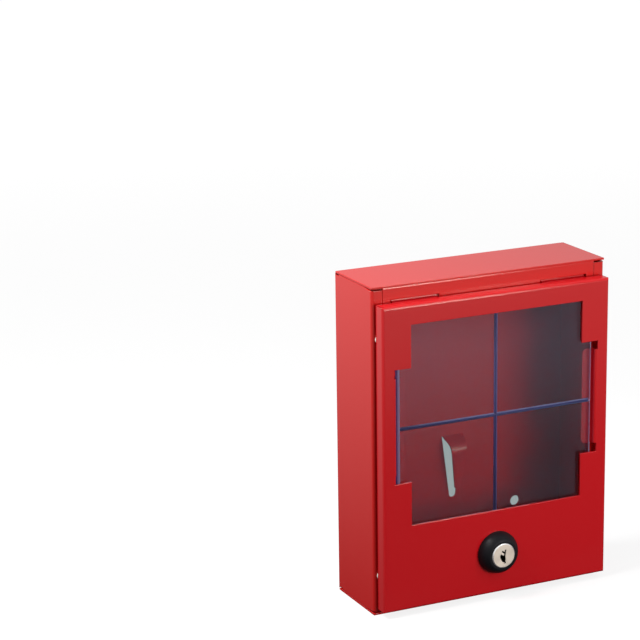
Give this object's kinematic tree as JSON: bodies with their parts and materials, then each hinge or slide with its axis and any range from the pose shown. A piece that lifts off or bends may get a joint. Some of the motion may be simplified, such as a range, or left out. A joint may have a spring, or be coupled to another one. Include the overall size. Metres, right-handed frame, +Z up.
{
  "type": "break glass key box",
  "caption": "Wall-mounted steel key box with a tray door hung on hook tabs, a scored break-out pane and a wafer cam lock.",
  "frame": {"origin": "under the middle of the base, half way between the front of the lock and the back of the case", "axes": "+Z up, +Y into the wall, +X to the right of someone facing the door"},
  "size_m": [0.14, 0.0602, 0.18],
  "materials": {
    "red_paint_case": "gloss red powder coat",
    "red_paint_door": "gloss red powder coat",
    "pane": "clear, faintly grey-blue, scored",
    "black_lock": "satin black",
    "nickel": "nickel plate",
    "zinc_plate": "bright zinc plate",
    "spring_steel": "plain spring steel",
    "wafer_brass": "stamped brass",
    "rubber": "milky clear soft polyurethane"
  },
  "bodies": {
    "case": {"case_shell": "red_paint_case", "door_buffer_lower_left": "rubber", "door_buffer_lower_right": "rubber", "door_buffer_upper_left": "rubber", "door_buffer_upper_right": "rubber"},
    "door": {"door_panel": "red_paint_door", "scored_pane": "pane", "lock_housing": "black_lock", "lock_tooth_washer": "zinc_plate", "lock_nut": "zinc_plate"},
    "plug": {"lock_plug": "nickel", "stop_washer": "zinc_plate", "lock_cam": "zinc_plate", "cam_washer": "zinc_plate", "cam_screw": "zinc_plate", "wafer_1": "wafer_brass", "wafer_2": "wafer_brass", "wafer_3": "wafer_brass", "wafer_4": "wafer_brass", "wafer_5": "wafer_brass", "wafer_spring_1": "spring_steel", "wafer_spring_2": "spring_steel", "wafer_spring_3": "spring_steel", "wafer_spring_4": "spring_steel", "wafer_spring_5": "spring_steel"}
  },
  "joints": [
    {"name": "door_swing", "type": "hinge", "parent": "case", "child": "door", "pos_m": [0, -0.0134, 0.17175], "axis": [-1, 0, 0], "range_deg": [0, 90]},
    {"name": "lock_turn", "type": "hinge", "parent": "door", "child": "plug", "pos_m": [0, -0.0226, 0.027], "axis": [0, 1, 0], "range_deg": [0, 90]}
  ]
}
